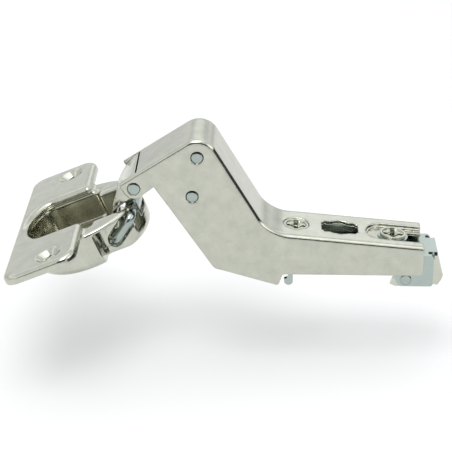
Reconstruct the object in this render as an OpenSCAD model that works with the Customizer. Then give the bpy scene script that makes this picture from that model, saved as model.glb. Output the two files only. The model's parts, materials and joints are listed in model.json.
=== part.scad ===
// Concealed cabinet hinge: drawn cup, two links and a cranked clip-on arm.
// X runs along the arm's foot towards its rear end, Y along the pivots, Z away from the cabinet side.
// The origin is on the mid-plane, level with the foot's seating edges, under the middle web hole.

/* [Sheet metal] */
// Thickness of the arm's sheet
arm_t = 1.2; // [1:0.1:1.4]
// Thickness of the cup's drawn sheet
cup_t = 1.0; // [0.8:0.1:1.1]
// Thickness of the outer link's strap
strap_t = 1.2; // [1:0.1:1.3]
// Thickness of the carriage's sheet
car_t = 1.2; // [1:0.1:1.4]
// Outside radius of the arm's long bends
bend_r = 1.2; // [0.8:0.1:1.6]

/* [Arm] */
// Outside width of the arm's channel
arm_w = 17.4; // [17:0.1:18.4]
// X of the arm's rear end
foot_end = 22.9; // [22:0.1:24]
// Height of the web at the rear end
foot_h = 8.6; // [8.5:0.1:9.2]
// Fall of the foot's web towards the rear, degrees
foot_fall = 5.1; // [4.6:0.1:5.4]
// X of the elbow between foot and crank
elbow_x = -19.7; // [-20.6:0.1:-19.2]
// Rise of the crank from the foot, degrees
crank_a = 59.2; // [58:0.2:60]
// Length of the crank from elbow to crest
crank_l = 34.4; // [33.6:0.1:35]
// Outside radius of the bend at the crest
crest_r = 5.2; // [4.6:0.1:6]
// Outside radius of the bend at the elbow
elbow_r = 4.2; // [3.6:0.1:5]
// Fall of the nose from the crest, degrees
nose_a = 33.3; // [32:0.1:34.5]
// Length of the nose from crest to nose pivot
nose_l = 25.0; // [24.4:0.1:25.6]
// Depth of the nose pivot below the nose web's top
nose_depth = 3.4; // [3.2:0.1:3.6]
// Radius of the nose round its pivot
nose_r = 3.0; // [2.9:0.1:3.2]
// X of the heel, where the crank's lower edge turns under the foot
heel_x = -34.8; // [-36:0.1:-34]
// Height of the heel above the seating edges
heel_h = 1.9; // [1.2:0.1:2.4]
// Distance of the throat, where nose and crank meet below, from the nose pivot
throat_l = 5.5; // [5.3:0.1:6]
// Reach of the toe below the seating edges
toe_d = 3.4; // [2.8:0.1:3.8]
// X of the toe's rear edge
toe_x = -15.7; // [-16.4:0.1:-15]

/* [Pivots] */
// Diameter of the rivet shanks inside the channel
rivet_d = 3.0; // [2.6:0.1:3.2]
// Diameter of the rivets in the channel's walls
rivet_head_d = 3.5; // [3.3:0.1:3.8]
// Distance from nose pivot to link pivot, along X
link_dx = 15.8; // [15.4:0.1:16.2]
// Drop from nose pivot to link pivot
link_dz = -2.1; // [-2.5:0.1:-1.7]
// Diameter of the spring rivet's shank
spring_rivet_d = 2.4; // [2.2:0.1:2.4]
// Distance from link pivot up to the spring rivet
spring_rise = 11.4; // [11:0.1:12]
// Diameter of the axle staple's wire
axle_d = 2.6; // [2.4:0.1:2.7]
// Running clearance of pins in their eyes, on the radius
run_c = 0.05; // [0.03:0.01:0.08]
// Seating clearance of pins that are riveted fast, on the radius
seat_c = 0.02; // [0.01:0.01:0.04]

/* [Cup] */
// Outside diameter of the drawn pot
cup_d = 34.8; // [34.6:0.1:35]
// Depth of the pot from the top of the wings
cup_h = 13.0; // [12.8:0.1:13.4]
// Radius of the pot's bottom edge
cup_edge_r = 3.5; // [2.5:0.1:4]
// Depth of the wings' turned-down rim
rim_h = 2.4; // [2.2:0.1:2.6]
// Width of the wings, along the arm
wing_w = 22.0; // [21:0.1:23]
// Length over both wings
wing_l = 64.6; // [63:0.2:66]
// Corner radius of the wings
wing_r = 4.5; // [3:0.1:6]
// Reach of the wings past the pot's axis, towards the arm
wing_reach = 3.4; // [3.2:0.1:3.6]
// Distance between the screw holes
screw_pitch = 52.0; // [50:0.5:54]
// Distance of the screw hole line from the pot's axis
screw_back = 5.5; // [5:0.1:6]
// Diameter of the screw holes
screw_d = 4.4; // [4:0.1:4.8]
// Diameter of the screw holes' countersinks
sink_d = 7.6; // [7:0.1:8]
// Half width of the opening between the wings
mouth_y = 11.7; // [11:0.1:12]
// Side clearance of the outer link in the pot's chamber
chamber_gap = 0.9; // [0.6:0.1:1]
// Tilt of the wings' plane from the foot, degrees
cup_tilt = 22.8; // [22:0.2:24]
// Lower axle, distance from the pot's axis towards the arm
low_u = 8.2; // [8:0.1:8.4]
// Lower axle, height above the pot's bottom
low_rise = 3.5; // [3.4:0.1:3.6]
// Upper axle, distance from the pot's axis towards the arm
up_u = 14.9; // [14.7:0.1:15]
// Upper axle, depth below the wings' top
up_n = 4.8; // [4.7:0.1:4.9]

/* [Links] */
// Side clearance of the outer link in the arm
outer_gap = 0.5; // [0.3:0.1:0.6]
// Length of the outer link between its pivots
outer_l = 15.6; // [15.4:0.1:15.8]
// Direction of the outer link from the nose pivot, degrees from +X
outer_a = 250.5; // [250:0.1:251]
// Distance of the outer link's back from the nose rivet's axis
back_d = 4.6; // [4.5:0.1:4.9]
// Radius of the outer link's bend over the nose rivet
over_r = 4.6; // [4:0.1:5.4]
// Side clearance between the inner link and the outer link's ears
inner_gap = 1.3; // [1:0.1:1.6]
// Thickness of the inner link's gooseneck
neck_t = 2.2; // [2:0.1:2.3]
// Wall of the links' eyes round the axles
eye_t = 1.0; // [0.8:0.1:1]
// Play of the link rivet in the inner link's eye, on the radius
rivet_gap = 1.35; // [1.3:0.05:1.5]

/* [Springs] */
// Diameter of the closing spring's wire
wire_d = 1.0; // [0.8:0.1:1]
// Mean radius of the closing spring's coils
coil_r = 2.35; // [2.3:0.05:2.4]
// Turns in each coil of the closing spring
coil_turns = 3; // [2:1:4]
// Diameter of the lever spring's wire
lever_wire_d = 0.7; // [0.6:0.1:0.8]

/* [Carriage] */
// Side clearance of the carriage in the arm
car_gap = 0.3; // [0.2:0.1:0.4]
// Height of the carriage's web
car_h = 5.5; // [5.4:0.1:5.6]
// Diameter of the carriage's access hole for the plate screw
access_d = 7.0; // [6.6:0.1:7.2]
// Reach of the carriage below the seating edges
car_drop = 3.9; // [3.5:0.1:4.2]
// X of the carriage's rear cheeks' end
cheek_end = 25.8; // [25.4:0.1:26.4]
// X of the release lever's pivot
lever_x = 18.3; // [18:0.1:18.8]
// Depth of the release lever's pivot below the seating edges
lever_z = 1.8; // [1.6:0.1:2]
// Width of the carriage's tail over the release lever
tail_w = 9.0; // [8:0.1:9.4]
// Reach of the release lever past the cheeks
lever_reach = 2.6; // [2.2:0.1:3]

/* [Adjusting screws] */
// Diameter of the side screw
side_d = 7.0; // [6.6:0.1:7.2]
// X of the side screw
side_x = -12.1; // [-12.4:0.1:-11.8]
// Diameter of the depth screw's head
depth_d = 7.2; // [6.8:0.1:7.4]
// X of the depth screw
depth_x = 14.8; // [14.4:0.1:15.2]
// Diameter of the depth screw's stud
stud_d = 5.0; // [4.6:0.1:5]
// Diameter of the depth screw's cam pin
cam_d = 3.0; // [2.8:0.1:3.2]
// Throw of the depth screw's cam
cam_e = 2.0; // [1.6:0.1:2.2]

/* [Hidden] */
$fn = 64;
eps = 0.01;

nickel = [0.78, 0.77, 0.73];
zinc = [0.80, 0.85, 0.84];
dark_steel = [0.42, 0.42, 0.40];
nylon = [0.22, 0.22, 0.22];

// Points of the mid-plane, as [x, z]
function polar(r, a) = [r * cos(a), r * sin(a)];
function turn(p, a) = [p[0] * cos(a) - p[1] * sin(a), p[0] * sin(a) + p[1] * cos(a)];
function arc(c, r, a0, a1, n = 12) = [for (i = [0:n]) c + polar(r, a0 + (a1 - a0) * i / n)];

elbow = [elbow_x, foot_h + (foot_end - elbow_x) * tan(foot_fall)];
crest = elbow + polar(crank_l, 180 - crank_a);
// Where the straight stretches of web meet the bends at crest and elbow, and the bends' centres
crest_cut = crest_r * tan((nose_a + crank_a) / 2);
crest_in = crest + polar(crest_cut, 180 + nose_a);
crest_out = crest + polar(crest_cut, -crank_a);
crest_c = crest_in + polar(crest_r, nose_a - 90);
elbow_cut = elbow_r * tan((crank_a - foot_fall) / 2);
elbow_in = elbow + polar(elbow_cut, 180 - crank_a);
elbow_out = elbow + polar(elbow_cut, -foot_fall);
elbow_c = elbow_out + polar(elbow_r, 90 - foot_fall);
nose_p = crest + polar(nose_l, 180 + nose_a) + polar(nose_depth, nose_a - 90);
link_p = nose_p + [link_dx, link_dz];
spring_p = link_p + [1.4, spring_rise];
low_p = nose_p + polar(outer_l, outer_a);
eye_r = axle_d / 2 + run_c + eye_t;
back_a = outer_a + asin((back_d - eye_r) / outer_l);
low_n = cup_h - low_rise;
flap_s = 2.8;
cup_p = low_p - turn([low_u, -low_n], cup_tilt);
up_p = cup_p + turn([up_u, -up_n], cup_tilt);

web_top = foot_h + foot_end * tan(foot_fall);
// X where a line square to the web at x meets the carriage's web
function below_web(x) = x - (web_top - x * tan(foot_fall) - car_h + car_t / 2) * tan(foot_fall);
wall_y = arm_w / 2;
inner_y = wall_y - arm_t;
outer_w = 2 * (inner_y - outer_gap);
car_w = 2 * (inner_y - car_gap);
inner_w = outer_w - 2 * strap_t - 2 * inner_gap;
chamber_y = outer_w / 2 + chamber_gap;
flat_y = chamber_y + cup_t;
bridge_y = flat_y + axle_d / 2 + 0.1;

// Turns a drawing of the X-Z plane upright and centres its width on the mid-plane
module upright(w) {
    translate([0, w / 2, 0])
        rotate([90, 0, 0])
            linear_extrude(w) children();
}

// A pin along Y, centred on the mid-plane
module cross_pin(p, d, w) {
    translate([p[0], w / 2, p[1]])
        rotate([90, 0, 0])
            cylinder(d = d, h = w);
}

// Solid through rings of k points each, all turning the same way about their path and seen whole
// from their first point
module through_rings(points, k) {
    n = len(points) / k;
    walls = [for (i = [0:n - 2], j = [0:k - 1])
        let (a = i * k + j, b = i * k + (j + 1) % k)
        each [[a, b + k, b], [a, a + k, b + k]]];
    start = [for (j = [1:k - 2]) [0, j, j + 1]];
    last = (n - 1) * k;
    end = [for (j = [1:k - 2]) [last, last + j + 1, last + j]];
    polyhedron(points = points, faces = concat(start, walls, end), convexity = 6);
}

// Wire of round section along a list of points
module wire(path, d, sides = 8) {
    n = len(path);
    function unit(v) = v / norm(v);
    function heading(i) = unit(path[min(i + 1, n - 1)] - path[max(i - 1, 0)]);
    through_rings([for (i = [0:n - 1])
        let (t = heading(i), s = unit(cross(t, [0.31, 0.17, 0.93])), b = cross(t, s))
        for (j = [0:sides - 1])
            path[i] + d / 2 * (cos(360 * j / sides) * s + sin(360 * j / sides) * b)], sides);
}

// Side view of the arm's walls, as high as they may reach
module wall_outline() {
    far = 60;
    throat = nose_p + polar(throat_l, nose_a - 28);
    difference() {
        union() {
            polygon([nose_p, nose_p + polar(nose_r, nose_a + 178), nose_p + polar(far, nose_a + 90),
                     [foot_end, far], [foot_end, 0], [toe_x, 0], [toe_x - 1.2, -toe_d],
                     [heel_x + 2, heel_h - 0.9], [heel_x, heel_h], throat,
                     nose_p + polar(nose_r, nose_a - 88)]);
            translate(nose_p) circle(nose_r);
        }
        // Rounded lower corner at the rear end
        translate([foot_end - 1.5, -1]) difference() {
            square([3, 2.5]);
            translate([0, 2.5]) circle(1.5);
        }
    }
}

// Strip of the side view below one straight stretch of web, from p to q, with n square to the web
function strip(p, q, n, inset) = [p - inset * n, q - inset * n, q - 40 * n, p - 40 * n];

// Side view of all that lies below the web's outer face, or below its inner face when inset
module under_web(inset) {
    polygon(strip(crest_in, crest_in + polar(nose_l + 10, 180 + nose_a), polar(1, nose_a + 90), inset));
    polygon(strip(crest_out, elbow_in, polar(1, 90 - crank_a), inset));
    polygon(strip(elbow_out, elbow_out + polar(60, -foot_fall), polar(1, 90 - foot_fall), inset));
    translate(crest_c) circle(crest_r - inset);
    difference() {
        polygon([elbow_c, elbow_c + polar(50, 270 - crank_a), elbow_c + polar(50, 270 - foot_fall)]);
        translate(elbow_c) circle(elbow_r + inset);
    }
}

// Rounding of the web's long edge at +Y: the corner's waste, carried along nose, crest, crank, elbow and foot
module rounded_edge() {
    r = bend_r + 0.005;
    corner = concat([[wall_y + 1, 1], [wall_y - bend_r - 0.5, 1]],
                    [for (t = [90:-15:0]) [wall_y - bend_r, -bend_r] + polar(r, t)],
                    [[wall_y + 1, -bend_r]]);
    crest_turn = [for (i = [0:10]) nose_a + 90 - (nose_a + crank_a) * i / 10];
    elbow_turn = [for (i = [0:6]) 90 - crank_a + (crank_a - foot_fall) * i / 6];
    // Each station is a point of the web's face and the direction square to it
    stations = concat(
        [[crest_in + polar(nose_l + 10, 180 + nose_a), nose_a + 90]],
        [for (a = crest_turn) [crest_c + polar(crest_r, a), a]],
        [for (a = elbow_turn) [elbow_c - polar(elbow_r, a), a]],
        [[elbow_out + polar(60, -foot_fall), 90 - foot_fall]]);
    through_rings([for (q = stations, c = corner)
        let (p = q[0] + polar(c[1], q[1])) [p[0], c[0], p[1]]], len(corner));
}

module arm() {
    floor_t = 0.9;
    slot_w = depth_d + 2.5;
    color(nickel)
        difference() {
            union() {
                difference() {
                    upright(arm_w) intersection() {
                        wall_outline();
                        under_web(0);
                    }
                    upright(2 * inner_y) {
                        under_web(arm_t);
                        // The web stops short of the outer link's flap
                        translate(nose_p) rotate(nose_a)
                            translate([flap_s + 0.25 - 20, 0]) square(20);
                    }
                    for (m = [0, 1]) mirror([0, m, 0]) rounded_edge();
                }
                // Stamped floor for the depth screw
                intersection() {
                    union() {
                        on_web(depth_x - 2.6) translate([0, 0, -arm_t - floor_t])
                            cylinder(d = slot_w + 2 * floor_t, h = floor_t + 0.5);
                        on_web(depth_x - 2.6) translate([0, -slot_w / 2 - floor_t, -arm_t - floor_t])
                            cube([foot_end - depth_x + 6, slot_w + 2 * floor_t, floor_t + 0.5]);
                    }
                    upright(arm_w) wall_outline();
                }
            }
            for (p = [nose_p, link_p, spring_p])
                cross_pin(p, rivet_head_d + 2 * seat_c, arm_w + 2);
            // Side screw, access hole and the open slot of the depth screw
            on_web(side_x) cylinder(d = side_d + 2 * run_c, h = 6, center = true);
            on_web(side_x) translate([0, 0, -0.35]) cylinder(d1 = side_d, d2 = side_d + 1.2, h = 0.5);
            on_web(0) cylinder(d = 8.3, h = 6, center = true);
            on_web(0) cube([10, 5.2, 6], center = true);
            on_web(depth_x - 2.6) translate([0, 0, -arm_t]) cylinder(d = slot_w, h = 4);
            on_web(depth_x - 2.6) translate([0, -slot_w / 2, -arm_t]) cube([20, slot_w, 4]);
            on_web(depth_x) cylinder(d = stud_d + 0.4, h = 8, center = true);
            on_web(depth_x) translate([0, -stud_d / 2 - 0.2, -4]) cube([20, stud_d + 0.4, 8]);
        }
}

// Places a child on the foot web's top face, with Z square to the web
module on_web(x) {
    translate([x, 0, web_top - x * tan(foot_fall)])
        rotate([0, foot_fall, 0]) children();
}

module rivet(p, shank) {
    color(zinc) {
        cross_pin(p, shank, arm_w - 2 * arm_t);
        for (s = [-1, 1])
            translate([p[0], s * (wall_y - arm_t), p[1]])
                rotate([-90 * s, 0, 0]) {
                    cylinder(d = rivet_head_d, h = arm_t + 0.1);
                    translate([0, 0, arm_t + 0.1]) cylinder(d1 = rivet_head_d, d2 = rivet_head_d - 0.6, h = 0.15);
                }
    }
}

module nose_rivet() { rivet(nose_p, rivet_d); }
module link_rivet() { rivet(link_p, rivet_d); }
module spring_rivet() { rivet(spring_p, spring_rivet_d); }

// Places a child drawn in the cup's own frame: X towards the arm, Z out of the door
module in_cup() {
    translate([cup_p[0], 0, cup_p[1]])
        rotate([0, -cup_tilt, 0]) children();
}

// Half section of the pot, inset by one wall thickness for its hollow
module pot_section(inset) {
    r = cup_d / 2 - inset;
    e = cup_edge_r - inset;
    polygon(concat([[0, -cup_h + inset]],
                   arc([r - e, -cup_h + cup_edge_r], e, -90, 0, 8),
                   [[r, 0], [0, 0]]));
}

module wing_outline(inset) {
    translate([wing_reach - wing_w / 2, 0])
        offset(r = wing_r - inset)
            square([wing_w - 2 * wing_r, wing_l - 2 * wing_r], center = true);
}

module cup() {
    pocket_u = 4.6;
    lip = rim_h - 0.2;
    color(nickel) in_cup()
        difference() {
            union() {
                difference() {
                    translate([0, 0, -rim_h]) linear_extrude(rim_h) wing_outline(0);
                    translate([0, 0, -rim_h - 1]) linear_extrude(rim_h + 1 - cup_t * 1.2) wing_outline(cup_t);
                }
                intersection() {
                    rotate_extrude() pot_section(0);
                    union() {
                        translate([-20, -20, -cup_h - 1]) cube([20 + wing_reach, 40, cup_h + 1]);
                        translate([-20, -20, -cup_h - 1]) cube([40, 40, cup_h + 1 - lip]);
                    }
                }
                for (s = [-1, 1])
                    translate([-screw_back, s * screw_pitch / 2, -2.2])
                        cylinder(d1 = screw_d + 1.8, d2 = sink_d + 1.8, h = 2.1);
            }
            // Hollow of the pot, narrowed to the chamber between the axle walls
            intersection() {
                rotate_extrude() pot_section(cup_t);
                union() {
                    translate([-20, -20, -cup_h]) cube([20 + wing_reach, 40, cup_h - cup_t * 1.2]);
                    translate([0, -chamber_y, -cup_h]) cube([20, 2 * chamber_y, cup_h + 1]);
                }
            }
            // Mouth between the wings
            intersection() {
                cylinder(r = cup_d / 2 - cup_t, h = 10, center = true);
                translate([-20, -mouth_y, -4]) cube([20 + wing_reach - cup_t, 2 * mouth_y, 8]);
            }
            translate([0, -chamber_y, -3]) cube([wing_reach + 1, 2 * chamber_y, 6]);
            // Side pockets for the axle staple
            for (s = [-1, 1])
                translate([pocket_u, s > 0 ? flat_y : -flat_y - 10, -cup_h - 1])
                    cube([20, 10, cup_h + 1 - lip - cup_t * 1.2]);
            // Screw holes with their countersinks
            for (s = [-1, 1])
                translate([-screw_back, s * screw_pitch / 2, 0]) {
                    cylinder(d = screw_d, h = 8, center = true);
                    translate([0, 0, -1.6]) cylinder(d1 = screw_d, d2 = sink_d, h = 1.6);
                    cylinder(d = sink_d, h = 1);
                }
            // Notch in the end wall for the inner link
            translate([up_u - 1, -inner_w / 2 - 0.6, -up_n - 2.6]) cube([10, inner_w + 1.2, 20]);
            // Axle bores
            for (p = [[low_u, -low_n], [up_u, -up_n]])
                cross_pin(p, axle_d + 2 * seat_c, 2 * flat_y + 2);
        }
}

module axle_staple() {
    span = norm([up_u - low_u, low_n - up_n]);
    lean = atan2(low_n - up_n, up_u - low_u);
    bend = axle_d / 2 + 0.5;
    color(zinc) in_cup()
        translate([low_u, 0, -low_n])
            rotate([0, -lean, 0]) {
                for (x = [0, span])
                    translate([x, -bridge_y + bend, 0])
                        rotate([-90, 0, 0]) cylinder(d = axle_d, h = bridge_y - bend + flat_y + 0.5);
                translate([bend, -bridge_y, 0])
                    rotate([0, 90, 0]) cylinder(d = axle_d, h = span - 2 * bend);
                translate([bend, -bridge_y + bend, 0])
                    rotate([0, 0, 180]) rotate_extrude(angle = 90) translate([bend, 0]) circle(d = axle_d);
                translate([span - bend, -bridge_y + bend, 0])
                    rotate([0, 0, 270]) rotate_extrude(angle = 90) translate([bend, 0]) circle(d = axle_d);
            }
}

// Side view of the outer link's strap: flap level with the arm's web, bend, back, and eye
module strap_outline(inset = 0) {
    top = nose_depth - inset;
    back = back_d - inset;
    turned = 180 + nose_a;
    span = back_a - turned;
    lean = nose_p + polar(top, nose_a + 90);
    s = (back - top * cos(span)) / sin(span);
    corner = lean + polar(s, turned);
    r = over_r - inset;
    cut = r * tan(span / 2);
    start = corner + polar(-cut, turned);
    centre = start + polar(r, nose_a - 90);
    foot = low_p + polar(eye_r - inset, back_a - 90);
    polygon(concat([lean + polar(flap_s, nose_a)],
                   arc(centre, r, nose_a + 90, back_a - 90, 16),
                   [foot, low_p, nose_p, nose_p + polar(flap_s, nose_a)]));
}

module outer_link() {
    ear_r = nose_r + 0.3;
    ear_l = 9.4;
    color(nickel)
        difference() {
            union() {
                intersection() {
                    upright(outer_w) difference() {
                        strap_outline();
                        strap_outline(strap_t);
                    }
                    // Flap end square to the web
                    translate([-80, -20, -20]) cube([80, 40, 80]);
                }
                cross_pin(low_p, 2 * eye_r, outer_w);
                difference() {
                    upright(outer_w) intersection() {
                        union() {
                            translate(nose_p) circle(ear_r);
                            polygon([nose_p, nose_p + polar(ear_r, back_a), nose_p + polar(ear_l, back_a - 27),
                                     nose_p + polar(back_d + 1, back_a - 90)]);
                        }
                        strap_outline();
                    }
                    translate([-80, -outer_w / 2 + strap_t, -20]) cube([80, outer_w - 2 * strap_t, 80]);
                }
            }
            cross_pin(nose_p, rivet_d + 2 * run_c, outer_w + 2);
            cross_pin(low_p, axle_d + 2 * run_c, outer_w + 2);
        }
}

// Centre line of the inner link, from the upper axle over the pot's rim to the link rivet
function in_cup_p(u, n) = cup_p + turn([u, n], cup_tilt);

module inner_outline() {
    neck = [up_p, in_cup_p(up_u, -1.8), in_cup_p(up_u + 2.6, -0.75), in_cup_p(up_u + 5.6, -0.35),
            nose_p + [5.8, 0.6], nose_p + [9, 1.2]];
    under = [for (i = [len(neck) - 1:-1:0]) neck[i] + [0.02, -0.02]];
    translate(up_p) circle(axle_d / 2 + run_c + 0.8);
    offset(r = neck_t / 2) polygon(concat(neck, under));
    hull() {
        translate(nose_p + [9, 1.0]) circle(1.6);
        translate(link_p + [0, 0]) circle(4.6);
        translate(link_p + [-2, 0.4]) circle(4.2);
    }
}

module inner_link() {
    color(zinc)
        difference() {
            upright(inner_w) inner_outline();
            cross_pin(up_p, axle_d + 2 * run_c, inner_w + 2);
            // Wide eye, in which the link rivet wanders as the hinge folds
            upright(inner_w + 2)
                hull() {
                    translate(link_p + [-1.3, 0.7]) circle(rivet_d / 2 + rivet_gap);
                    translate(link_p + [0.05, 0.9]) circle(rivet_d / 2 + rivet_gap);
                }
        }
}

// Coil of the closing spring on one side, wound from the leg at the wall towards the middle
function coil(y0, y1, a0, turns) =
    [for (i = [0:12 * turns])
        let (p = spring_p + polar(coil_r, a0 - 30 * i))
        [p[0], y0 + (y1 - y0) * i / (12 * turns), p[1]]];

module closing_spring() {
    y_out = inner_y - wire_d / 2 - 0.6;
    y_in = y_out - coil_turns * wire_d * 1.12;
    leg = nose_l - 9.6;
    leg_end = spring_p + polar(coil_r, nose_a + 90) + polar(leg, 180 + nose_a);
    half = concat([[leg_end[0], y_out, leg_end[1]]], coil(y_out, y_in, nose_a + 90, coil_turns));
    mirrored = [for (i = [len(half) - 1:-1:0]) [half[i][0], -half[i][1], half[i][2]]];
    color(dark_steel) wire(concat(half, mirrored), wire_d);
}

module spring_bush() {
    color(nylon)
        difference() {
            cross_pin(spring_p, 2 * coil_r - wire_d - 0.2, 2 * inner_y - 0.6);
            cross_pin(spring_p, spring_rivet_d + 2 * run_c, arm_w);
        }
}

// Side view of the carriage's cheeks with front hook and rear cheek
module cheek_outline() {
    difference() {
        union() {
            polygon([[-15.4, car_h], [-15.4, 0.8], [cheek_end, 0.8], [cheek_end, car_h - 0.6],
                     [cheek_end - 0.6, car_h]]);
            hull() {
                translate([-14.2, 1]) square([2.6, 1], center = true);
                translate([-14.1, -car_drop + 1.2]) circle(1.2);
            }
            hull() {
                translate([14.2, 0.8]) square([cheek_end - 14.2, 0.5]);
                translate([17.2, -car_drop + 1.4]) circle(1.4);
                translate([cheek_end - 0.8, -car_drop + 0.8]) circle(0.8);
            }
        }
        translate([-15.2, -1]) circle(1.0);
    }
}

module carriage() {
    color(zinc)
        difference() {
            union() {
                upright(car_w) cheek_outline();
                translate([cheek_end - 2, -tail_w / 2, car_h - car_t]) cube([3.2, tail_w, car_t]);
            }
            // Clearance for the lever's horns beside the tail
            for (s = [-1, 1])
                translate([cheek_end - 1.4, s > 0 ? tail_w / 2 : -car_w / 2 + car_t, car_h - car_t - 1])
                    cube([5, car_w / 2 - car_t - tail_w / 2, 5]);
            // Hollow of the channel
            translate([-40, -car_w / 2 + car_t, -20]) cube([80, car_w - 2 * car_t, 20 + car_h - car_t]);
            // Slot for the side screw's neck and cross slot for the cam
            translate([below_web(side_x), 0, 0]) slot_x(4.4, 4.4);
            translate([below_web(depth_x), 0, 0]) slot_y(cam_d + 0.4, 9);
            // Access to the plate screw
            cylinder(d = access_d, h = 12);
            cross_pin([lever_x, -lever_z], 3.1 + 2 * seat_c, car_w + 2);
        }
}

// Round-ended slots through the carriage's web
module slot_x(w, travel) {
    translate([-travel / 2, -w / 2, 0]) cube([travel, w, 12]);
    for (s = [-1, 1]) translate([s * travel / 2, 0, 0]) cylinder(d = w, h = 12);
}

module slot_y(w, l) {
    translate([-w / 2, -l / 2, 0]) cube([w, l, 12]);
}

module lever_rivet() {
    color(zinc) cross_pin([lever_x, -lever_z], 3.1, car_w + 0.3);
}

// Side view of the release lever's arms, with the catch in front of the pivot
module lever_arms() {
    p = [lever_x, -lever_z];
    back = cheek_end + 0.3;
    translate(p) circle(2.4);
    polygon([p + [0, 2.4], [back, 3.8], [back, -car_drop], p + [0, -2.3]]);
    polygon([p + [-2.2, 1], p + [1, -2.1], p + [-2.4, -2.9], p + [-4.2, -2.2], p + [-3.6, -0.6]]);
}

// Side view of the release lever's finger plate
module finger_plate() {
    back = cheek_end + 0.3;
    polygon([[back, 4.9], [back + 0.9, 4.9], [back + lever_reach, -1], [back + 2.2, -2.4],
             [back + 1.2, -car_drop - 0.2], [back, -car_drop]]);
}

module clip_lever() {
    w = car_w - 2 * car_t - 0.6;
    back = cheek_end + 0.3;
    color(nickel)
        difference() {
            union() {
                difference() {
                    upright(w) lever_arms();
                    upright(w - 2 * car_t)
                        translate([lever_x - 10, -10]) square([20, 20]);
                }
                upright(w) finger_plate();
            }
            // Hollow behind the plate and notch for the carriage's tail
            upright(w - 2 * car_t)
                polygon([[back - 5, 3], [back, 3], [back + lever_reach - 1.3, -1],
                         [back + 0.4, -car_drop + 0.8], [back - 5, -car_drop + 0.8]]);
            translate([back - 5, -tail_w / 2 - 0.25, car_h - car_t - 1.6]) cube([10, tail_w + 0.5, 10]);
            cross_pin([lever_x, -lever_z], 3.1 + 2 * run_c, car_w);
        }
}

module lever_spring() {
    p = [lever_x, -lever_z];
    r = 1.55 + run_c + lever_wire_d / 2 + 0.15;
    turns = 4;
    helix = [for (i = [0:12 * turns])
        let (q = p + polar(r, 60 + 30 * i)) [q[0], -2 + 4 * i / (12 * turns), q[1]]];
    color(dark_steel) wire(concat([[p[0] + 4.6, -2.2, p[1] + 1.6]], helix, [[p[0] - 2.2, 2.2, p[1] + 5]]),
                           lever_wire_d, 6);
}

// Cross recess of a screw head
module cross_slots(l, w, depth) {
    for (a = [0, 90])
        rotate([0, 0, a]) translate([-l / 2, -w / 2, -depth]) cube([l, w, depth + 1]);
}

module side_screw() {
    top = -0.25;
    neck_z = car_h - (web_top - side_x * tan(foot_fall));
    color(nickel) on_web(side_x)
        difference() {
            union() {
                translate([0, 0, neck_z + 0.5]) cylinder(d = side_d, h = top - neck_z - 0.5);
                translate([0, 0, neck_z - car_t - 0.6]) cylinder(d = 3.6, h = car_t + 1.3);
                translate([0, 0, neck_z - car_t - 1.6]) cylinder(d = 6.4, h = 1.1);
            }
            translate([0, 0, top - 0.5]) cylinder(d1 = side_d - 2.4, d2 = side_d - 1.4, h = 0.6);
            translate([0, 0, top - 0.4]) cross_slots(side_d - 1.4, 1.1, 1.8);
        }
}

module depth_screw() {
    seat = -arm_t + 0.35;
    cam_top = car_h - (web_top - depth_x * tan(foot_fall)) + 0.25;
    color(nickel) on_web(depth_x)
        difference() {
            union() {
                translate([0, 0, seat]) cylinder(d = depth_d, h = 0.8);
                translate([0, 0, cam_top]) cylinder(d = stud_d, h = seat - cam_top + eps);
                translate([0, cam_e, cam_top - car_t - 0.5]) cylinder(d = cam_d, h = car_t + 0.6);
            }
            translate([0, 0, seat + 0.3]) cylinder(d1 = depth_d - 2.6, d2 = depth_d - 1.4, h = 0.6);
            translate([0, 0, seat + 0.35]) cross_slots(depth_d - 1.4, 1.1, 1.2);
        }
}

module depth_ring() {
    color(zinc) on_web(depth_x)
        difference() {
            translate([0, 0, -arm_t + 0.03]) cylinder(d = depth_d + 1.2, h = 0.3);
            cylinder(d = stud_d + 2 * run_c, h = 6, center = true);
        }
}

cup();
axle_staple();
outer_link();
inner_link();
arm();
nose_rivet();
link_rivet();
spring_rivet();
closing_spring();
spring_bush();
carriage();
lever_rivet();
clip_lever();
lever_spring();
side_screw();
depth_screw();
depth_ring();
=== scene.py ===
import json
import math

import bpy
import numpy as np
import openvdb
from mathutils import Matrix, Vector


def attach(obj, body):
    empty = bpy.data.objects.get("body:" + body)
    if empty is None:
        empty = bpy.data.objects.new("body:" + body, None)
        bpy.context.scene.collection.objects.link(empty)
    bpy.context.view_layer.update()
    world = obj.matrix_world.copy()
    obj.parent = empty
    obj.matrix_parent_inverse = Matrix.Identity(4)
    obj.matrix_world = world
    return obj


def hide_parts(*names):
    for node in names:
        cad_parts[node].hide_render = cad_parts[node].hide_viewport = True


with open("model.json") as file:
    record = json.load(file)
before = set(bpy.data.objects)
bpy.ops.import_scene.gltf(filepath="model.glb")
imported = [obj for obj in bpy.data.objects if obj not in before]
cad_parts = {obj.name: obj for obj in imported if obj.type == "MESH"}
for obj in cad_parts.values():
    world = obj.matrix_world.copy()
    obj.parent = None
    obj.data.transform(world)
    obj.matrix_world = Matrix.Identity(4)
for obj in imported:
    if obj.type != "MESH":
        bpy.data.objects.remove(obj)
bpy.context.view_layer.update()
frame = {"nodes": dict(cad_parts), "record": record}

# The arm: a channel of 1.2 mm nickel-plated steel, blanked, folded over its long edges and
# cranked over a crest and an elbow. Three rivets hold the links and the spring in its walls,
# and its foot is pierced and sunk for the adjusting screws.
joint_at = {j["name"]: Vector(j["pos_m"]) * 1000 for j in frame["record"]["behaviour"]["joints"] if "pos_m" in j}
nose, low_axle, up_axle = (joint_at[k] for k in ("outer_link_swing", "cup_fold", "inner_link_swing"))
SHEET = 1.2
ARM_HALF = 8.7
FOOT_FALL, CRANK_RISE, NOSE_FALL = 5.1, 59.2, 33.3
FOOT_END = 22.9
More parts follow.
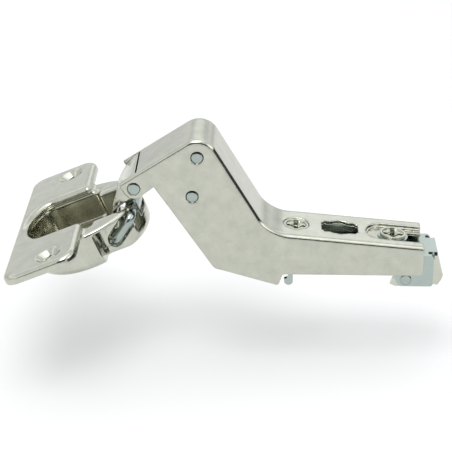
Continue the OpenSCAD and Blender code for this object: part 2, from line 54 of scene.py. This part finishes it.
WEB_TOP = 8.6 + FOOT_END * math.tan(math.radians(FOOT_FALL))
SCREW_X, HOLE_X, DEPTH_X = -12.1, 0.0, 14.8


def smooth_max(a, b, k):
    """The larger of two distances, with the edge between them softened over k mm."""
    h = np.clip(0.5 + 0.5 * (a - b) / k, 0, 1)
    return b + (a - b) * h + k * h * (1 - h)


def smooth_min(a, b, k):
    return -smooth_max(-a, -b, k)


def round_and(a, b, r):
    """Inside both a and b, with a true radius r on the outer edge."""
    return np.minimum(np.maximum(a + r, b + r), 0) + np.hypot(np.maximum(a + r, 0), np.maximum(b + r, 0)) - r


def block(lo, hi, step):
    """Coordinates in mm of every point of a block, ready to broadcast."""
    axes = [np.arange(a, b + step, step, dtype=np.float32) for a, b in zip(lo, hi)]
    return np.meshgrid(*axes, indexing="ij", sparse=True)


def facing(x, z, point, angle):
    """Height over a line of the side view through point, square to the direction angle in degrees."""
    a = math.radians(angle)
    return (x - point[0]) * math.cos(a) + (z - point[1]) * math.sin(a)


def polygon(x, z, corners):
    """Signed distance from a closed outline of the side view."""
    best, inside = None, np.zeros(np.broadcast(x, z).shape, bool)
    for (ax, az), (bx, bz) in zip(corners, corners[1:] + corners[:1]):
        ex, ez = bx - ax, bz - az
        t = np.clip(((x - ax) * ex + (z - az) * ez) / (ex * ex + ez * ez), 0, 1)
        d = np.hypot(x - ax - ex * t, z - az - ez * t)
        best = d if best is None else np.minimum(best, d)
        if az != bz:
            inside ^= ((az > z) != (bz > z)) & (x < ex * (z - az) / ez + ax)
    return np.where(inside, -best, best)


def along(point, length, angle):
    """The side-view point that lies length mm from point at angle degrees."""
    a = math.radians(angle)
    return (point[0] + length * math.cos(a), point[1] + length * math.sin(a))


def skin(name, distance, lo, step, place=None, adaptivity=0.0):
    """Mesh of the surface where distance is 0, turned into the part's frame by place."""
    field = openvdb.FloatGrid(3.0)
    field.copyFromArray(np.ascontiguousarray(np.clip(distance, -3, 3).astype(np.float32)))
    points, triangles, quads = field.convertToPolygons(isovalue=0.0, adaptivity=adaptivity)
    points = np.asarray(lo) + points * step
    points = place(points) if place else points
    mesh = bpy.data.meshes.new(name)
    faces = [tuple(reversed(f)) for f in quads.tolist()] + [tuple(reversed(f)) for f in triangles.tolist()]
    mesh.from_pydata((points / 1000).tolist(), [], faces)
    mesh.polygons.foreach_set("use_smooth", [True] * len(mesh.polygons))
    mesh.update()
    obj = bpy.data.objects.new(name, mesh)
    bpy.context.collection.objects.link(obj)
    return obj


def plated(name, colour, rough, mottle=0.1, grain=0.07):
    """Plated steel: cloudy tarnish, a fine tumbled grain, edges rubbed brighter, and painted shade that darkens the
    colour where points are marked as lying in recesses.
    """
    mat = bpy.data.materials.new(name)
    mat.use_nodes = True
    nodes, links = mat.node_tree.nodes, mat.node_tree.links
    shader = nodes["Principled BSDF"]
    shader.inputs["Metallic"].default_value = 1.0
    coord = nodes.new("ShaderNodeTexCoord")
    cloud = nodes.new("ShaderNodeTexNoise")
    cloud.inputs["Scale"].default_value = 260.0
    cloud.inputs["Detail"].default_value = 9.0
    cloud.inputs["Roughness"].default_value = 0.7
    links.new(coord.outputs["Object"], cloud.inputs["Vector"])
    tone = nodes.new("ShaderNodeValToRGB")
    tone.color_ramp.elements[0].position = 0.32
    tone.color_ramp.elements[0].color = (*[c * (1 - mottle) for c in colour], 1)
    tone.color_ramp.elements[1].position = 0.68
    tone.color_ramp.elements[1].color = (*[min(1, c * (1 + mottle)) for c in colour], 1)
    links.new(cloud.outputs["Fac"], tone.inputs["Fac"])
    shape = nodes.new("ShaderNodeNewGeometry")
    edge = nodes.new("ShaderNodeMapRange")
    edge.inputs["From Min"].default_value = 0.52
    edge.inputs["From Max"].default_value = 0.62
    edge.inputs["To Max"].default_value = 0.3
    links.new(shape.outputs["Pointiness"], edge.inputs["Value"])
    rubbed = nodes.new("ShaderNodeMixRGB")
    rubbed.inputs["Color2"].default_value = (*[min(1, c * 1.3) for c in colour], 1)
    links.new(edge.outputs["Result"], rubbed.inputs["Fac"])
    links.new(tone.outputs["Color"], rubbed.inputs["Color1"])
    # Painted shade: the colour is multiplied darker and warmer at points marked as lying in recesses.
    deep = nodes.new("ShaderNodeAttribute")
    deep.attribute_name = "painted_shade"
    painted_shade_mix = nodes.new("ShaderNodeMixRGB")
    painted_shade_mix.blend_type = "MULTIPLY"
    painted_shade_mix.inputs["Color2"].default_value = (0.90, 0.875, 0.84, 1)
    links.new(deep.outputs["Fac"], painted_shade_mix.inputs["Fac"])
    links.new(rubbed.outputs["Color"], painted_shade_mix.inputs["Color1"])
    links.new(painted_shade_mix.outputs["Color"], shader.inputs["Base Color"])
    gloss = nodes.new("ShaderNodeMapRange")
    gloss.inputs["To Min"].default_value = rough * 0.85
    gloss.inputs["To Max"].default_value = rough * 1.2
    links.new(cloud.outputs["Fac"], gloss.inputs["Value"])
    links.new(gloss.outputs["Result"], shader.inputs["Roughness"])
    fine = nodes.new("ShaderNodeTexNoise")
    fine.inputs["Scale"].default_value = 1100.0
    fine.inputs["Detail"].default_value = 3.0
    links.new(coord.outputs["Object"], fine.inputs["Vector"])
    bump = nodes.new("ShaderNodeBump")
    bump.inputs["Strength"].default_value = grain
    bump.inputs["Distance"].default_value = 0.0002
    links.new(fine.outputs["Fac"], bump.inputs["Height"])
    links.new(bump.outputs["Normal"], shader.inputs["Normal"])
    return mat


def mark_painted_shade(piece, amount):
    """Marks how much painted shade each point of a piece gets, from 0 to 1, darkening its colour in recesses where
    shade falls.
    """
    layer = piece.data.attributes.new("painted_shade", "FLOAT", "POINT")
    layer.data.foreach_set("value", np.clip(amount, 0, 1).astype(np.float32))


def points_of(piece):
    """The points of a piece, in mm."""
    flat = np.empty(len(piece.data.vertices) * 3, np.float32)
    piece.data.vertices.foreach_get("co", flat)
    return flat.reshape(-1, 3) * 1000


nickel = plated("nickel_plate", (0.50, 0.51, 0.44), 0.16)

nose_xz = (nose.x, nose.z)
elbow = (-19.7, WEB_TOP + 19.7 * math.tan(math.radians(FOOT_FALL)))
crest = along(elbow, 34.4, 180 - CRANK_RISE)
lo, step = (-61.5, -9.2, -4.5), 0.22
x, y, z = block(lo, (24.0, 9.2, 43.5), step)
ay = np.abs(y)
over_nose = facing(x, z, crest, 90 + NOSE_FALL)
over_crank = facing(x, z, crest, 90 - CRANK_RISE)
over_foot = facing(x, z, elbow, 90 - FOOT_FALL)
height = -round_and(-round_and(over_nose, over_crank, 5.9), -over_foot, 4.2)
throat = along(nose_xz, 5.5, NOSE_FALL - 28)
outline = polygon(x, z, [nose_xz, along(nose_xz, 3, NOSE_FALL + 178), along(nose_xz, 60, NOSE_FALL + 90),
                         (FOOT_END, 60), (FOOT_END, 1.2), (FOOT_END - 0.4, 0.35), (FOOT_END - 1.2, 0), (-15.4, 0),
                         (-15.9, -0.4), (-16.8, -3.1), (-17.3, -3.35), (-32.2, 1.0), (-34.3, 1.55), (-35.0, 2.1),
                         throat, along(nose_xz, 3, NOSE_FALL - 88)])
outline = np.minimum(outline, np.hypot(x - nose.x, z - nose.z) - 3.0)
outside = round_and(round_and(ay - ARM_HALF, height, SHEET), outline, 0.3)
hollow = smooth_max(ay - ARM_HALF + SHEET, height + SHEET, 0.5)
body = smooth_max(outside, -hollow, 0.15)
flap_gap = np.maximum(np.maximum(ay - ARM_HALF + SHEET, facing(x, z, nose_xz, NOSE_FALL) - 3.05),
                      -facing(x, z, nose_xz, 90 + NOSE_FALL))
body = smooth_max(body, -flap_gap, 0.15)

run = facing(x, z, (0, WEB_TOP), -FOOT_FALL)
on_run = {at: at / math.cos(math.radians(FOOT_FALL)) for at in (SCREW_X, HOLE_X, DEPTH_X)}
screw_hole = np.hypot(run - on_run[SCREW_X], y) - 3.55
body = smooth_max(body, -np.maximum(screw_hole, -over_foot - 3), 0.35)
key_hole = np.minimum(np.hypot(run, y) - 4.15, np.maximum(np.abs(run) - 5.0, ay - 2.5))
key_hole = np.minimum(key_hole, np.maximum(np.abs(run) - 4.4, ay - 3.3))
body = smooth_max(body, -np.maximum(key_hole, -over_foot - 3), 0.2)
slot_front = on_run[DEPTH_X] - 2.6


def open_slot(half):
    """A slot from the depth screw out through the rear end, half mm either side."""
    return np.where(run < slot_front, np.hypot(run - slot_front, y) - half, ay - half)


sunk_floor = np.maximum(open_slot(5.75), np.abs(over_foot + 1.65) - 0.45)
body = np.minimum(body, round_and(sunk_floor, outline + 0.1, 0.2))
body = smooth_max(body, -np.maximum(open_slot(4.85), -over_foot - 0.75), 0.55)
body = smooth_max(body, -np.maximum(open_slot(4.3), -over_foot - 1.2), 0.2)
stud_slot = np.where(run < on_run[DEPTH_X], np.hypot(run - on_run[DEPTH_X], y) - 2.7, ay - 2.7)
body = smooth_max(body, -np.maximum(stud_slot, -over_foot - 4), 0.2)
link_rivet = (nose.x + 15.8, nose.z - 2.1)
spring_rivet = (link_rivet[0] + 1.4, link_rivet[1] + 11.4)
for at in (nose_xz, link_rivet, spring_rivet):
    body = smooth_max(body, -(np.hypot(x - at[0], z - at[1]) - 1.68), 0.2)
arm = skin("arm_channel", body, lo, step, adaptivity=0.01)
arm.data.materials.append(nickel)
ax, ay, az = points_of(arm).T
under_foot = facing(ax, az, elbow, 90 - FOOT_FALL)
# Painted shade in the sunk recess of the foot, darker the deeper a point lies.
sunk = (np.abs(ay) < 5.6) & (ax > 8.0) & (under_foot > -3)
mark_painted_shade(arm, np.where(sunk, (-under_foot - 0.2) * 0.8, 0))
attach(arm, "arm")
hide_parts("arm")

# The rivets: three turned steel pins, bright zinc, set through the channel's walls and peened
# flush over both sides. The front two carry the links, the top one the closing spring.
zinc = plated("zinc_plate", (0.37, 0.425, 0.40), 0.2, 0.05)


def rivet_tree(name, material):
    """Geometry Nodes: a shank with a peened head at both ends, on every point of the mesh."""
    tree = bpy.data.node_groups.new(name, "GeometryNodeTree")
    face = tree.interface
    face.new_socket("Points", in_out="INPUT", socket_type="NodeSocketGeometry")
    for label in ("Shank Radius", "Head Radius", "Head Length", "Head Dome", "Inner Width"):
        face.new_socket(label, in_out="INPUT", socket_type="NodeSocketFloat")
    face.new_socket("Rivets", in_out="OUTPUT", socket_type="NodeSocketGeometry")
    nodes, links = tree.nodes, tree.links
    given = nodes.new("NodeGroupInput")

    def cone(bottom, top, depth, centre):
        made = nodes.new("GeometryNodeMeshCone")
        made.inputs["Vertices"].default_value = 48
        for socket, value in (("Radius Bottom", bottom), ("Radius Top", top), ("Depth", depth)):
            links.new(value, made.inputs[socket])
        moved = nodes.new("GeometryNodeTransform")
        links.new(made.outputs["Mesh"], moved.inputs["Geometry"])
        links.new(centre, moved.inputs["Translation"])
        return moved.outputs["Geometry"]

    def maths(operation, a, b):
        node = nodes.new("ShaderNodeMath")
        node.operation = operation
        for socket, value in zip(node.inputs, (a, b)):
            if isinstance(value, (int, float)):
                socket.default_value = value
            else:
                links.new(value, socket)
        return node.outputs[0]

    def raised(value):
        node = nodes.new("ShaderNodeCombineXYZ")
        if value is not None:
            links.new(value, node.inputs["Z"])
        return node.outputs[0]

    shank, head, length, dome, width = (given.outputs[i] for i in range(1, 6))
    half = maths("MULTIPLY", width, 0.5)
    crown = maths("MULTIPLY", head, 0.82)
    parts = [cone(shank, shank, width, raised(maths("MULTIPLY", half, -1.0)))]
    for side in (1, -1):
        foot = half if side > 0 else maths("MULTIPLY", maths("ADD", half, length), -1.0)
        parts.append(cone(head, head, length, raised(foot)))
        if side > 0:
            parts.append(cone(head, crown, dome, raised(maths("ADD", half, length))))
        else:
            tip = maths("MULTIPLY", maths("ADD", maths("ADD", half, length), dome), -1.0)
            parts.append(cone(crown, head, dome, raised(tip)))
    joined = nodes.new("GeometryNodeJoinGeometry")
    for part in parts:
        links.new(part, joined.inputs[0])
    lying = nodes.new("GeometryNodeTransform")
    lying.inputs["Rotation"].default_value = (math.radians(90), 0, 0)
    links.new(joined.outputs[0], lying.inputs["Geometry"])
    spread = nodes.new("GeometryNodeInstanceOnPoints")
    links.new(given.outputs[0], spread.inputs["Points"])
    links.new(lying.outputs["Geometry"], spread.inputs["Instance"])
    real = nodes.new("GeometryNodeRealizeInstances")
    links.new(spread.outputs[0], real.inputs[0])
    paint = nodes.new("GeometryNodeSetMaterial")
    paint.inputs["Material"].default_value = material
    links.new(real.outputs[0], paint.inputs["Geometry"])
    out = nodes.new("NodeGroupOutput")
    links.new(paint.outputs[0], out.inputs[0])
    return tree


def grow(name, points, tree, sizes):
    """Runs a tree over a few points in mm and keeps its result as a plain mesh."""
    seed = bpy.data.meshes.new(name)
    seed.from_pydata([tuple(c / 1000 for c in p) for p in points], [], [])
    holder = bpy.data.objects.new(name, seed)
    bpy.context.collection.objects.link(holder)
    run_tree = holder.modifiers.new("tree", "NODES")
    run_tree.node_group = tree
    sockets = {i.name: i.identifier for i in tree.interface.items_tree if i.in_out == "INPUT"}
    for label, value in sizes.items():
        run_tree[sockets[label]] = value
    made = bpy.data.meshes.new_from_object(holder.evaluated_get(bpy.context.evaluated_depsgraph_get()))
    made.name = name
    holder.modifiers.clear()
    holder.data = made
    return holder


riveting = rivet_tree("rivets", zinc)
for name, at, shank, head in (("nose_rivet", nose_xz, 1.5, 1.62), ("link_rivet", link_rivet, 1.5, 1.5),
                              ("spring_rivet", spring_rivet, 1.2, 1.5)):
    pin = grow(name + "_peened", [(at[0], 0, at[1])], riveting,
               {"Shank Radius": shank / 1000, "Head Radius": head / 1000, "Head Length": 0.00122, "Head Dome": 0.00012,
                "Inner Width": 2 * (ARM_HALF - SHEET) / 1000})
    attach(pin, "arm")
    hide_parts(name)

# The outer link: one strap of nickel-plated sheet, folded to a broad back with a flap over the
# nose rivet, two ears on it, and an eye rolled round the lower axle.
LINK_HALF, EYE = 7.0, 2.35
back_turn = math.degrees(math.atan2(low_axle.z - nose.z, low_axle.x - nose.x)) + 360
back_turn += math.degrees(math.asin((4.6 - EYE) / 15.6))
lo, step = (-66.5, -7.4, 7.4), 0.16
x, y, z = block(lo, (-51.5, 7.4, 30.5), step)
ay = np.abs(y)
flap_top = facing(x, z, nose_xz, 90 + NOSE_FALL) - 3.4
back_face = facing(x, z, nose_xz, back_turn - 90) - 4.6
strap = round_and(flap_top, back_face, 4.6)
strap = round_and(strap, ay - LINK_HALF, 0.35)
strap_in = np.maximum(strap, -(round_and(flap_top, back_face, 4.6) + SHEET))
strap_in = np.maximum(strap_in, facing(x, z, nose_xz, NOSE_FALL) - 2.4)
strap_in = np.maximum(strap_in, facing(x, z, (low_axle.x, low_axle.z), back_turn))
eye = round_and(np.hypot(x - low_axle.x, z - low_axle.z) - EYE, ay - LINK_HALF, 0.3)
ear = np.minimum(np.hypot(x - nose.x, z - nose.z) - 3.3,
                 polygon(x, z, [nose_xz, along(nose_xz, 3.3, back_turn), along(nose_xz, 9.4, back_turn - 27),
                                along(nose_xz, 5.6, back_turn - 90)]))
ear = np.maximum(np.maximum(ear, np.maximum(ay - LINK_HALF, LINK_HALF - SHEET - ay)), round_and(flap_top, back_face, 4.6))
body = smooth_min(smooth_min(strap_in, eye, 0.4), ear, 0.5)
body = smooth_max(body, -(np.hypot(x - nose.x, z - nose.z) - 1.55), 0.15)
body = smooth_max(body, -(np.hypot(x - low_axle.x, z - low_axle.z) - 1.36), 0.15)
outer = skin("outer_link_strap", body, lo, step, adaptivity=0.01)
outer.data.materials.append(nickel)
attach(outer, "outer_link")
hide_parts("outer_link")

# The cup: one piece of nickel-plated steel sheet, deep-drawn into a pot with two screw wings.
# All its edges are rolled over a radius by the press tools.
CUP_TILT, POT, CUP_SHEET = 22.8, 17.4, 1.0
AXLE_IN_CUP = (8.2, 0.0, -9.5)
tilt = np.array(Matrix.Rotation(math.radians(-CUP_TILT), 3, "Y"))
cup_zero = np.array(low_axle) - tilt @ np.array(AXLE_IN_CUP)


def in_cup(points):
    """From the cup's own frame, with Z out of the door, to the part's frame."""
    return points @ tilt.T + cup_zero


lo, step = (-19.2, -33.2, -13.6), 0.25
u, y, n = block(lo, (18.2, 33.2, 0.8), step)
ay = np.abs(y)
radius = np.hypot(u, y)
wing = np.hypot(np.maximum(np.abs(u + 8.2) - 5.9, 0), np.maximum(ay - 27.8, 0)) - 4.5
wing_slab = np.maximum(round_and(wing, n, 1.3), -n - 2.4)
tray = np.maximum(wing + 1.1, n + 1.2)
pot = round_and(radius - POT, -n - 13.0, 3.5)
flange = round_and(pot, n + 2.2, 0.9)
outside = smooth_min(flange, wing_slab, 1.2)
pocket = smooth_max(smooth_max(4.8 - u, 9.6 - ay, 1.6), n + 3.4, 0.4)
outside = smooth_max(outside, -pocket, 0.6)
staple_dx, staple_dn = 14.9 - AXLE_IN_CUP[0], -4.8 - AXLE_IN_CUP[2]
on_staple = np.clip(((u - AXLE_IN_CUP[0]) * staple_dx + (n - AXLE_IN_CUP[2]) * staple_dn) / (staple_dx ** 2 + staple_dn ** 2), 0, 1)
from_staple = np.hypot(u - AXLE_IN_CUP[0] - on_staple * staple_dx, n - AXLE_IN_CUP[2] - on_staple * staple_dn)
outside = smooth_max(outside, -smooth_max(from_staple - 1.9, 9.0 - ay, 0.3), 0.5)
body = smooth_max(outside, -np.maximum(tray, 17.3 - radius), 0.2)
chamber = smooth_min(smooth_max(ay - 11.0, u - 3.6, 2.0), smooth_max(ay - 7.9, -u, 0.5), 1.2)
chamber = smooth_max(round_and(radius - POT + 1.9, -n - 12.0, 2.5), chamber, 1.5)
body = smooth_max(body, -np.maximum(chamber, n + 3.0), 0.3)
body = smooth_max(body, -np.maximum(chamber, -n - 9.0), 2.2)
window = smooth_max(np.maximum(ay - 5.1, 13.9 - u), -n - 7.4, 0.5)
body = smooth_max(body, -window, 0.3)
hole_r = np.hypot(u + 5.5, ay - 26)
boss = np.maximum(np.maximum((hole_r - 4.4) * 0.8 + (-n - 1.0) * 0.6, -n - 2.2), n + 0.6)
body = np.minimum(body, boss)
body = smooth_max(body, -(hole_r - 2.15 + 0 * n), 0.2)
body = smooth_max(body, -((hole_r - 2.2) * 0.76 - (n + 1.7) * 0.65), 0.35)
for at in (AXLE_IN_CUP, (14.9, 0.0, -4.8)):
    body = smooth_max(body, -np.maximum(np.hypot(u - at[0], n - at[2]) - 1.36, ay - 20), 0.12)
cup = skin("cup_sheet", body, lo, step, in_cup, 0.004)
cup.data.materials.append(nickel)
cu, cy, cn = ((points_of(cup) - cup_zero) @ tilt).T
# Painted shade inside the pot, darker towards its floor.
in_chamber = (np.hypot(cu, cy) < 16.3) & (np.abs(cy) < np.where(cu < 4.4, 11.6, 8.3)) & (cn > -12.4)
mark_painted_shade(cup, np.where(in_chamber, (-cn - 1.0) / 2.5, 0))
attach(cup, "cup")
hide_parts("cup")

# The adjusting screws: turned and nickel-plated, each with a cross recess. The front one shifts
# the arm sideways, the rear one moves it in and out with a cam below its head.
web_turn = np.array(Matrix.Rotation(math.radians(FOOT_FALL), 3, "Y"))


def screw(name, node, at, top, stages):
    """A turned screw with its axis square to the foot; stages are (radius, lowest, highest, offset)."""
    lo, step = (-4.0, -4.0, -8.6), 0.12
    a, b, h = block(lo, (4.0, 4.6, 0.4), step)
    body = None
    for radius, low, high, offset in stages:
        stage = round_and(np.hypot(a, b - offset) - radius, np.abs(h - (low + high) / 2) - (high - low) / 2, 0.15)
        body = stage if body is None else np.minimum(body, stage)
    head = stages[0][0]
    r = np.hypot(a, b)
    body = smooth_max(body, -round_and(r - head + 0.75, top - 0.45 - h, 0.1), 0.2)
    cross = np.minimum(np.maximum(np.abs(a) - 0.55, np.abs(b) - head + 0.7), np.maximum(np.abs(b) - 0.55, np.abs(a) - head + 0.7))
    body = smooth_max(body, -np.maximum(cross, top - 1.9 - h), 0.15)
    body = smooth_max(body, -((r - 1.5) * 0.8 + (top - 0.5 - h) * 0.6), 0.2)
    zero = np.array([at, 0, WEB_TOP - at * math.tan(math.radians(FOOT_FALL))])
    piece = skin(name, body, lo, step, lambda p: p @ web_turn.T + zero, 0.01)
    piece.data.materials.append(nickel)
    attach(piece, node)
    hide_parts(node)


neck_z = 5.5 - (WEB_TOP - SCREW_X * math.tan(math.radians(FOOT_FALL)))
screw("side_screw_turned", "side_screw", SCREW_X, -0.2,
      [(3.5, neck_z + 0.5, -0.2, 0), (1.8, neck_z - 1.8, neck_z + 0.6, 0), (3.2, neck_z - 2.8, neck_z - 1.7, 0)])
cam_z = 5.5 - (WEB_TOP - DEPTH_X * math.tan(math.radians(FOOT_FALL))) + 0.25
screw("depth_screw_turned", "depth_screw", DEPTH_X, -0.05,
      [(3.6, -0.85, -0.05, 0), (2.5, cam_z, -0.8, 0), (1.5, cam_z - 1.7, cam_z + 0.1, 2.0)])

# The other pieces keep their CAD solids: zinc-plated carriage, inner link, axle staple, lever
# rivet and ring, the nickel-plated release lever, the springs' wire and the moulded bush.
wire = plated("spring_wire", (0.16, 0.155, 0.15), 0.35)
nylon = bpy.data.materials.new("nylon")
nylon.use_nodes = True
nylon.node_tree.nodes["Principled BSDF"].inputs["Base Color"].default_value = (0.02, 0.02, 0.02, 1)
lever_at = joint_at["release_lever"]
catch = grow("lever_rivet_peened", [(lever_at.x, 0, lever_at.z)], riveting,
             {"Shank Radius": 0.00155, "Head Radius": 0.0016, "Head Length": 0.00015, "Head Dome": 0.0003,
              "Inner Width": 2 * 7.2 / 1000})
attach(catch, "carriage")
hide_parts("lever_rivet")
finishes = {"clip_lever": nickel, "axle_staple": zinc, "inner_link": zinc, "carriage": zinc,
            "depth_ring": zinc, "closing_spring": wire, "lever_spring": wire, "spring_bush": nylon}
for node, mat in finishes.items():
    obj = frame["nodes"][node]
    obj.data.materials.clear()
    obj.data.materials.append(mat)
for node in ("carriage", "clip_lever", "inner_link"):
    softened = frame["nodes"][node].modifiers.new("pressed_edges", "BEVEL")
    softened.width = 0.00025
    softened.segments = 2
    softened.limit_method = "ANGLE"
    softened.angle_limit = math.radians(50)

# The studio: a white table, two black flags for the dark lines along the bends, soft lamps, and a camera from the
# front, 25 degrees above the foot.


def card(name, centre, towards, width, tall, colour, glow=0.0):
    """A flat staged card, facing a point."""
    mesh = bpy.data.meshes.new(name)
    turn = (Vector(towards) - Vector(centre)).to_track_quat("Z", "Y").to_matrix()
    corners = [turn @ Vector((sx * width / 2, sy * tall / 2, 0)) + Vector(centre) for sx, sy in ((-1, -1), (1, -1), (1, 1), (-1, 1))]
    mesh.from_pydata([tuple(c) for c in corners], [], [(0, 1, 2, 3)])
    obj = bpy.data.objects.new(name, mesh)
    bpy.context.collection.objects.link(obj)
    mat = bpy.data.materials.new(name)
    mat.use_nodes = True
    nodes, links = mat.node_tree.nodes, mat.node_tree.links
    paint = nodes["Principled BSDF"]
    paint.inputs["Base Color"].default_value = (*colour, 1)
    paint.inputs["Roughness"].default_value = 0.9
    if glow:
        rays = nodes.new("ShaderNodeLightPath")
        seen = nodes.new("ShaderNodeMath")
        seen.operation = "MAXIMUM"
        links.new(rays.outputs["Is Camera Ray"], seen.inputs[0])
        links.new(rays.outputs["Is Glossy Ray"], seen.inputs[1])
        level = nodes.new("ShaderNodeMath")
        level.operation = "MULTIPLY"
        level.inputs[1].default_value = glow
        links.new(seen.outputs[0], level.inputs[0])
        paint.inputs["Emission Color"].default_value = (1, 1, 1, 1)
        links.new(level.outputs[0], paint.inputs["Emission Strength"])
    mesh.materials.append(mat)


card("table", (0, 0, -0.03), (0, 0, 1), 6, 6, (0.7, 0.7, 0.7), 0.12)
card("front_flag", (-0.03, -0.66, 0.32), (-0.03, 0, 0.02), 0.9, 0.42, (0.02, 0.02, 0.02))
card("right_flag", (0.75, -0.02, 0.12), (-0.03, 0, 0.02), 1.3, 0.34, (0.02, 0.02, 0.02))

world = bpy.data.worlds.new("studio")
bpy.context.scene.world = world
world.use_nodes = True
sky, sky_links = world.node_tree.nodes, world.node_tree.links
towards = sky.new("ShaderNodeTexCoord")
parts = sky.new("ShaderNodeSeparateXYZ")
sky_links.new(towards.outputs["Generated"], parts.inputs["Vector"])
walls = sky.new("ShaderNodeValToRGB")
for at, level in ((0.05, 0.37), (0.17, 0.52), (0.30, 0.35), (0.42, 0.76), (0.60, 0.45), (0.85, 0.5), (0.95, 0.9)):
    stop = walls.color_ramp.elements.new(at)
    stop.color = (level, level * 1.01, level * 1.02, 1)
walls.color_ramp.elements.remove(walls.color_ramp.elements[0])
walls.color_ramp.elements.remove(walls.color_ramp.elements[-1])
sky_links.new(parts.outputs["Z"], walls.inputs["Fac"])
sky_links.new(walls.outputs["Color"], sky["Background"].inputs["Color"])
sky["Background"].inputs["Strength"].default_value = 2.0

for name, place, size, power in (("key", (-0.12, -0.30, 0.62), 0.3, 1.6), ("fill", (0.45, -0.2, 0.35), 0.3, 0.3)):
    lamp = bpy.data.lights.new(name, "AREA")
    lamp.size = size
    lamp.energy = power
    holder = bpy.data.objects.new(name, lamp)
    holder.location = place
    holder.rotation_euler = (Vector((-0.03, 0, 0.01)) - Vector(place)).to_track_quat("-Z", "Y").to_euler()
    bpy.context.collection.objects.link(holder)

camera = bpy.data.cameras.new("camera")
camera.sensor_width = 36
camera.lens = 125.44
camera.clip_start = 0.01
view = bpy.data.objects.new("camera", camera)
view.matrix_world = Matrix(((0.99963, -0.01120, 0.02489, -0.02072), (0.02729, 0.42884, -0.90297, -0.39582),
                            (-0.00057, 0.90331, 0.42898, 0.19861), (0, 0, 0, 1)))
bpy.context.collection.objects.link(view)
bpy.context.scene.camera = view
bpy.context.scene.view_settings.view_transform = "Standard"
